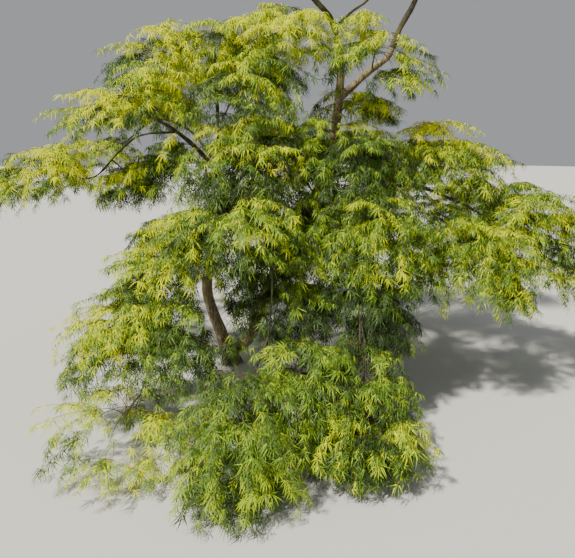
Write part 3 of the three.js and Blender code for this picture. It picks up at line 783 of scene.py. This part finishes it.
def clear_of_wood(points):
    """Which points keep some room to the limbs."""
    tree, thick = wood_places()
    near = (tree.find(point) for point in points)
    return np.array([distance > thick[number] + WOOD_ROOM for place, number, distance in near])


class Growth:
    """What a mass grows: lines of wood, and its leaves with their places and turns."""

    def __init__(self):
        self.stems = []
        self.twigs = []
        self.shoots = []
        self.leaves = []


class LeafSizes(NamedTuple):
    """How long a leaf's middle lobe and its stalk are, and how far apart the pairs of leaves."""

    blade: float
    stalk: float
    spacing: float


class Spray(NamedTuple):
    """A fan of shoots: its number and level in its mass, its foot, the way it runs, its slope and size."""

    number: int
    level: float
    foot: np.ndarray
    run: np.ndarray
    slope: float
    spread: float
    length: float


def grow_mass(mass, seed, finer, leaf):
    """Twigs leave the stem from its tip downwards in flat tiers. Each opens into a spray of shoots."""
    chance = np.random.default_rng(seed)
    grown = Growth()
    middle, reach = np.array(mass.middle), np.array(mass.reach)
    limb_point = on_line(limb_lines()[mass.limb], mass.share)
    hub = middle + STEM_RISE * reach[2] * UP
    run = np.linalg.norm(hub - limb_point)
    stem = bent_line(limb_point, (limb_point + hub) / 2 + STEM_ARCH * run * UP, hub, STEM_POINTS)
    grown.stems.append(stem)
    outward = unit((middle - CROWN_MIDDLE) * (1, 1, 0))
    out_turn = math.atan2(outward[1], outward[0])
    tiers = max(2, round(2 * reach[2] / TIER_GAP))
    count = round(mass.twigs * finer * mass.full)
    for number in range(count):
        level = (number + 0.5) / count
        tier = (math.floor(level * tiers) + 0.5) / tiers
        aim = (number * GOLDEN_SHARE + TURN_CHANCE * chance.random()) % 1 * 2 - 1
        turn = out_turn + math.pi * aim
        lean = math.cos(turn - out_turn)
        root = on_line(stem, between(TWIG_ROOT, level))
        out = between(TWIG_OUT, tier) * (1 + LEAN_OUT * lean) * chance.uniform(*OUT_CHANCE)
        rise = between(TIER_RISE, tier) - LEAN_DOWN * lean + chance.uniform(*RISE_CHANCE)
        target = middle + reach * (out * math.cos(turn), out * math.sin(turn), rise)
        flat = (target - root) * (1, 1, 0)
        bend = (root + target) / 2
        bend[2] = max(root[2], target[2]) + TWIG_ARCH * np.linalg.norm(flat)
        grown.twigs.append(bent_line(root, bend, target, TWIG_POINTS))
        slope = between(SPRAY_SLOPE, tier) + chance.uniform(*SLOPE_CHANCE)
        length = between(SPRAY_LENGTH, tier) * (reach[0] + reach[1]) / 2 * chance.uniform(*LENGTH_CHANCE)
        spray = Spray(number, level, target, unit(flat), slope, between(SPRAY_SPREAD, tier), length)
        grow_spray(grown, mass, chance, spray, leaf)
    joined = [np.concatenate(parts) for parts in zip(*grown.leaves)]
    grown.leaves = leaves_that_fit(joined, mass, leaf.stalk)
    return grown


def grow_spray(grown, mass, chance, spray, leaf):
    """A fan of drooping shoots with leaves. Some shoots hang on past the fan's rim."""
    ahead = spray.run * math.cos(spray.slope) - UP * math.sin(spray.slope)
    aside = np.cross(UP, spray.run)
    above = np.cross(ahead, aside)
    droop = between(SPRAY_DROOP, spray.level)
    shoots = SHOOTS_HIGH if spray.level < HIGH_LEVEL else SHOOTS_LOW
    for number in range(shoots):
        off = spray.spread * (1 - 2 * number / (shoots - 1)) + chance.uniform(*SHOOT_TURN_CHANCE)
        shorter = 1 - SIDE_SHORTER * abs(off / spray.spread)
        long = spray.length * shorter * chance.uniform(*SHOOT_LENGTH_CHANCE)
        share = np.linspace(0, 1, max(2, round(long / leaf.spacing)) + 1)[:, None]
        way = math.cos(off) * ahead + math.sin(off) * aside
        line = spray.foot + long * (share * way - droop * share**2 * above)
        line = line[: inside_count(line, mass, chance.uniform(*RAGGED_EDGE))]
        if len(line) < 2:
            continue
        if spray.level > HANGING_FROM and chance.random() < HANGING_SHARE:
            tail = hanging_tail(line, chance.uniform(*HANGING_LENGTH), leaf.spacing)
            line = np.concatenate((line, tail[: inside_count(tail, mass, HANGING_EDGE)]))
        grown.shoots.append(line)
        clothe(grown, chance, line, above, spray, leaf)


def hanging_tail(line, length, spacing):
    """How a shoot goes on past the rim of its spray: ahead at first, then more and more down."""
    share = np.linspace(0, 1, round(length / spacing) + 1)[1:, None]
    sway = unit((line[-1] - line[-2]) * (1, 1, 0))
    fall = HANGING_FALL[0] * share + HANGING_FALL[1] * share**2
    return line[-1] + length * (HANGING_SWAY * share * sway - fall * UP)


def inside_count(line, mass, edge):
    """How many points of a line come before it first leaves the mass's space."""
    kept = in_own_space(line, mass, edge)
    return len(kept) if kept.all() else int(np.argmin(kept))


def clothe(grown, chance, line, above, spray, leaf):
    """Sets pairs of leaves along a shoot, each swung out to its side and hanging."""
    count = len(line)
    along = unit(np.gradient(line, axis=0))
    across = unit(np.cross(above, along))
    outward = unit((line - CROWN_MIDDLE) * (1, 1, 0))
    least, most = np.array(LEAF_HANG[0]) * (1 - spray.level) + np.array(LEAF_HANG[1]) * spray.level
    for side in (1.0, -1.0):
        swing = np.radians(chance.uniform(*LEAF_SWING, count))[:, None] * side
        swing[-1] *= END_SWING[side > 0]
        way = along * np.cos(swing) + across * np.sin(swing)
        size = leaf.blade * chance.uniform(*LEAF_SIZE, count)
        room = np.maximum(line[:, 2] - LOWEST_LEAF, 0) / (TIP_REACH * size) - TIP_SPARE
        hang = np.maximum(chance.uniform(least, most, count), -room)
        way = unit(way + LEAF_FLOW * outward + hang[:, None] * UP)
        face = unit(above + FACE_UP * UP + chance.normal(0, FACE_CHANCE, (count, 3)))
        shift = side * chance.uniform(*PAIR_SHIFT, (count, 1)) * along * leaf.blade
        grown.leaves.append((
            line + shift, way, face, size, np.full(count, spray.number), np.full(count, spray.level)))


def leaves_that_fit(leaves, mass, stalk):
    """Leaves out the leaves that would leave the mass's space, touch a limb or hide one that shows."""
    root, way, size = leaves[0], leaves[1], leaves[3]
    middle = root + way * (stalk + 0.5 * size)[:, None]
    kept = in_own_space(middle, mass, HANGING_EDGE) & clear_of_wood(middle) & ~hides_limb(middle)
    return [part[kept] for part in leaves]


@functools.lru_cache(maxsize=1)
def grow_crown(finer, leaf):
    """What each mass grows, by its name."""
    seeds = range(FIRST_SEED, FIRST_SEED + len(MASSES))
    return {mass.name: grow_mass(mass, seed, finer, leaf) for mass, seed in zip(MASSES, seeds)}


def crown_of(scene):
    """The crown that the scene's settings ask for."""
    leaf = scene.maple_leaves
    return grow_crown(scene.maple_twigs.finer, LeafSizes(leaf.length, leaf.stalk_length, leaf.spacing))


def tube_rows(line, thick, sides):
    """Vertices and faces of a thin tube along a line that ends in a point."""
    along = unit(np.gradient(line, axis=0))
    side = unit(np.cross(along, ASLANT))
    over = np.cross(along, side)
    turns = 2 * math.pi * np.arange(sides) / sides
    rings = (
        line[:, None]
        + thick[:, None, None] * (
            np.cos(turns)[None, :, None] * side[:, None] + np.sin(turns)[None, :, None] * over[:, None]))
    corner = np.arange(sides)
    low = (np.arange(len(line) - 1) * sides)[:, None]
    following = (corner + 1) % sides
    faces = np.stack((low + corner, low + following, low + sides + following, low + sides + corner), axis=2)
    return rings.reshape(-1, 3), faces.reshape(-1, 4)


def mesh_object(name, points, faces, tones, materials):
    """An object from lists of arrays of points and faces. tones gives each face's material."""
    points, faces, tones = (np.concatenate(rows) for rows in (points, faces, tones))
    mesh = bpy.data.meshes.new(name)
    corners = faces.shape[1]
    mesh.vertices.add(len(points))
    mesh.vertices.foreach_set("co", points.astype(np.float32).ravel())
    mesh.loops.add(faces.size)
    mesh.loops.foreach_set("vertex_index", faces.astype(np.int32).ravel())
    mesh.polygons.add(len(faces))
    mesh.polygons.foreach_set("loop_start", np.arange(0, faces.size, corners, dtype=np.int32))
    mesh.polygons.foreach_set("material_index", tones.astype(np.int32))
    for material in materials:
        mesh.materials.append(material)
    mesh.update(calc_edges=True)
    piece = bpy.data.objects.new(name, mesh)
    bpy.context.collection.objects.link(piece)
    return piece


def twig_object(name, masses, crown, look, materials):
    """The stems, twigs and shoots of some masses as one piece."""
    points, faces, tones = [], [], []
    start = 0
    for mass in masses:
        grown = crown[mass.name]
        for lines, thick, sides, tone in (
            (grown.stems, look.stem, STEM_SIDES, OLD_WOOD),
            (grown.twigs, look.twig, TWIG_SIDES, OLD_WOOD),
            (grown.shoots, look.shoot, TWIG_SIDES, YOUNG_WOOD),
        ):
            for line in lines:
                taper = thick * np.linspace(1, TUBE_END, len(line))
                taper[-1] *= TUBE_TIP
                rows, sheets = tube_rows(line, taper, sides)
                points.append(rows)
                faces.append(sheets + start)
                tones.append(np.full(len(sheets), tone))
                start += len(rows)
    return mesh_object(name, points, faces, tones, materials)


def leaf_form(seed, stalk):
    """A leaf of seven narrow lobes that bend down, on a stalk: its points, its triangles and their parts."""
    chance = np.random.default_rng(seed)
    bend = chance.uniform(*LEAF_BEND)
    spread = chance.uniform(*LEAF_SPREAD)
    points = [(0, 0, 0), (-stalk, STALK_WIDTH, STALK_RISE), (-stalk, -STALK_WIDTH, STALK_RISE)]
    triangles = [(0, 1, 2)]
    parts = [STALK]
    for lobe, (turn, long) in enumerate(BROAD_LOBES + SIDE_LOBES):
        turn = math.radians(turn * spread + chance.uniform(*LOBE_TURN_CHANCE))
        long *= chance.uniform(*LOBE_LENGTH_CHANCE)
        curl = chance.uniform(*LOBE_CURL_CHANCE)
        broad = lobe < len(BROAD_LOBES)
        widest = LOBE_WIDEST if broad else SIDE_LOBE_FOOT
        left, right, tip = range(len(points), len(points) + 3)
        for share, width in ((widest, LOBE_WIDTH), (widest, -LOBE_WIDTH), (1, 0)):
            arc = bend * share * (SHORT_LOBE_BEND + (1 - SHORT_LOBE_BEND) * long)
            out = long * math.sin(arc) / bend
            fall = long * (1 - math.cos(arc)) / bend
            angle = turn + curl * (share - widest)
            ahead, aside = math.cos(angle), math.sin(angle)
            points.append((out * ahead - width * aside, out * aside + width * ahead, -fall))
        if broad:
            triangles.append((0, right, left))
            parts.append(BASE)
        triangles.append((right, tip, left))
        # Some lobes' tips take the tip tone, a painted highlight
        parts.append(TIP if chance.random() < HIGHLIGHT_AND_BRONZE_LOBES else BASE)
    return np.array(points), np.array(triangles), np.array(parts)


def rare_leaves(chance, spray, share):
    """Some leaves of a few sprays. This is the share of the sprays that have them."""
    in_spray = chance.random(int(spray.max()) + 1)[spray] < share
    return in_spray & (chance.random(len(spray)) < RARE_LEAVES)


def leaf_tones(mass, grown, chance):
    """Each leaf's tone and the tone of its tips, dealt out by spray: sunnier at the top of a mass. The tips
    are painted highlights, up to two tones sunnier, with bronze on a few young leaves.
    """
    spray, level = grown.leaves[4], grown.leaves[5]
    fall = SUN_FALL if mass.middle[2] > HEM_BELOW else HEM_SUN_FALL
    sunny = mass.sun * (TOP_SUN - fall * level) + chance.normal(0, SPRAY_LUCK, int(spray.max()) + 1)[spray]
    brightest, highlight_steps = (GOLD, 2) if mass.sun > GOLDEN_SUN else (LIME, 1)
    tone = np.round((FULL_SUN - sunny) * TONE_STEPS + chance.normal(0, LEAF_LUCK, len(spray))).astype(int)
    tone = np.clip(tone, brightest, SHADE)
    # The tips are painted highlights, up to two tones sunnier than the leaf
    tip = np.maximum(tone - chance.integers(1, highlight_steps + 1, len(spray)), brightest)
    high = mass.middle[2] > RARE_ABOVE
    tip[rare_leaves(chance, spray, BRONZE_SPRAYS * mass.sun * high) & (level < BRONZE_LEVEL)] = BRONZE
    tone[rare_leaves(chance, spray, CREAM_SPRAYS * high)] = CREAM
    return tone, tip


def leaf_object(name, masses, crown, look, materials):
    """All leaves of some masses as one piece."""
    forms = [leaf_form(seed, look.stalk_length / look.length) for seed in range(LEAF_FORMS)]
    points, faces, tones = [], [], []
    start = 0
    for number, mass in enumerate(masses):
        grown = crown[mass.name]
        chance = np.random.default_rng(TONE_SEED + number + len(name))
        tone, tip = leaf_tones(mass, grown, chance)
        form_of = chance.integers(0, len(forms), len(tone))
        for form, (shape, triangles, parts) in enumerate(forms):
            chosen = form_of == form
            root, way, face, size = (part[chosen] for part in grown.leaves[:4])
            side = unit(np.cross(face, way))
            above = np.cross(way, side)
            origin = root + way * look.stalk_length
            placed = (
                origin[:, None]
                + size[:, None, None] * (
                    shape[None, :, :1] * way[:, None] + shape[None, :, 1:2] * side[:, None]
                    + shape[None, :, 2:] * above[:, None]))
            fits = in_box(placed)
            placed = placed[fits]
            points.append(placed.reshape(-1, 3))
            first = start + np.arange(len(placed)) * len(shape)
            faces.append((first[:, None, None] + triangles[None]).reshape(-1, 3))
            # Lobe tips take the tip tone, a painted highlight, bronze on a few young leaves
            base_tone, highlight_and_bronze_tone = tone[chosen][fits][:, None], tip[chosen][fits][:, None]
            dealt = np.where(parts[None] == TIP, highlight_and_bronze_tone, base_tone)
            tones.append(np.where(parts[None] == STALK, STALK, dealt).ravel())
            start += len(placed) * len(shape)
    return mesh_object(name, points, faces, tones, materials)


def settle(piece, nodes):
    """The piece rides on the tree and stands for the nodes, which it hides."""
    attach(piece, "root")
    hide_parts(*nodes)


class MAPLE_OT_limbs(bpy.types.Operator):
    """Skin the trunk, the second stem and the boughs with bark"""

    bl_idname = "maple.limbs"
    bl_label = "Trunk and boughs"

    def execute(self, context):
        look = context.scene.maple_bark
        skin = limb_skin(look)
        # The bark is lightened as painted sunlight, and the thin bark is a darker copy with painted shade,
        # dealt to faces by the nearest limb's thickness.
        skin.data.materials.append(bark_material("bark", look.wood, look.furrow, look.algae, look.lichen))
        skin.data.materials.append(
            bark_material("thin_bark", look.thin_wood_and_shade, look.thin_furrow_and_shade, look.algae, look.thin_wood_and_shade))
        tree, thick = wood_places()
        for face in skin.data.polygons:
            face.material_index = int(thick[tree.find(face.center)[1]] < look.thin)
        settle(skin, [limb.name for limb in LIMBS])
        return {"FINISHED"}


class MAPLE_OT_twigs(bpy.types.Operator):
    """Grow the stems, twigs and shoots of every mass of foliage"""

    bl_idname = "maple.twigs"
    bl_label = "Twigs"

    def execute(self, context):
        look = context.scene.maple_twigs
        materials = [
            plain_material("old_wood", look.old, roughness=0.8),
            plain_material("young_wood", look.young, roughness=0.6)]
        crown = crown_of(context.scene)
        for region, masses in REGIONS.items():
            piece = twig_object(f"twigs_{region}", masses, crown, look, materials)
            settle(piece, [mass.name for mass in masses])
        return {"FINISHED"}


class MAPLE_OT_leaves(bpy.types.Operator):
    """Grow the leaves of every mass of foliage"""

    bl_idname = "maple.leaves"
    bl_label = "Leaves"

    def execute(self, context):
        look = context.scene.maple_leaves
        materials = []
        for tone in TONES:
            gloss = SUNNY_GLOSS if tone in SUNNY_TONES else LEAF_GLOSS
            materials.append(plain_material(f"leaf_{tone}", getattr(look, tone), LEAF_ROUGHNESS, gloss))
        crown = crown_of(context.scene)
        for region, masses in REGIONS.items():
            piece = leaf_object(f"leaves_{region}", masses, crown, look, materials)
            settle(piece, [mass.name for mass in masses])
        return {"FINISHED"}


class MAPLE_OT_studio(bpy.types.Operator):
    """Lay the floor and set the lights and the camera"""

    bl_idname = "maple.studio"
    bl_label = "Floor, lights and camera"

    def execute(self, context):
        look = context.scene.maple_studio
        bpy.ops.object.select_all(action="DESELECT")
        bpy.ops.mesh.primitive_circle_add(
            vertices=FLOOR_SIDES, radius=FLOOR_RADIUS, fill_type="NGON", location=(0, 0, -FLOOR_DEPTH))
        floor = bpy.context.object
        floor.name = "floor"
        bpy.ops.object.transform_apply(location=True)
        floor.data.materials.append(plain_material("floor", look.floor, roughness=0.9))
        floor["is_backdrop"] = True
        world = bpy.data.worlds.new("sky")
        context.scene.world = world
        world.use_nodes = True
        sky = world.node_tree.nodes["Background"].inputs
        sky["Color"].default_value = SKY_COLOUR
        sky["Strength"].default_value = look.sky
        bpy.ops.object.light_add(type="SUN", location=KEY_PLACE)
        key = bpy.context.object
        key.name = "key_light"
        key.data.energy = look.key
        key.data.angle = KEY_SPREAD
        key.data.color = KEY_COLOUR
        key.rotation_euler = Vector(KEY_WAY).to_track_quat("-Z", "Y").to_euler()
        bpy.ops.object.camera_add(location=look.eye, rotation=(math.pi / 2 - look.tilt, 0, 0))
        camera = bpy.context.object
        camera.data.sensor_width = SENSOR_WIDTH
        camera.data.lens = look.lens
        camera.data.clip_start = NEAREST
        camera.data.clip_end = FURTHEST
        context.scene.camera = camera
        return {"FINISHED"}


class MAPLE_PT_panel(bpy.types.Panel):
    """The steps that dress the tree, in order"""

    bl_label = "Laceleaf maple"
    bl_idname = "MAPLE_PT_panel"
    bl_space_type = "VIEW_3D"
    bl_region_type = "UI"
    bl_category = "Maple"

    def draw(self, context):
        for operator in OPERATORS:
            self.layout.operator(operator.bl_idname)


SETTINGS = {
    "maple_bark": BarkSettings,
    "maple_twigs": TwigSettings,
    "maple_leaves": LeafSettings,
    "maple_studio": StudioSettings,
}
OPERATORS = (MAPLE_OT_limbs, MAPLE_OT_twigs, MAPLE_OT_leaves, MAPLE_OT_studio)


def register():
    for group in (*SETTINGS.values(), *OPERATORS, MAPLE_PT_panel):
        bpy.utils.register_class(group)
    for name, group in SETTINGS.items():
        setattr(bpy.types.Scene, name, PointerProperty(type=group))


def unregister():
    for name in SETTINGS:
        delattr(bpy.types.Scene, name)
    for group in (MAPLE_PT_panel, *OPERATORS, *SETTINGS.values()):
        bpy.utils.unregister_class(group)


def main():
    register()
    bpy.ops.maple.limbs()
    bpy.ops.maple.twigs()
    bpy.ops.maple.leaves()
    bpy.ops.maple.studio()
    boxes = {"cad": CAD_BOX, "visual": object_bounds()}
    {name: [list(corner) for corner in box] for name, box in boxes.items()}


if __name__ == "__main__":
    main()
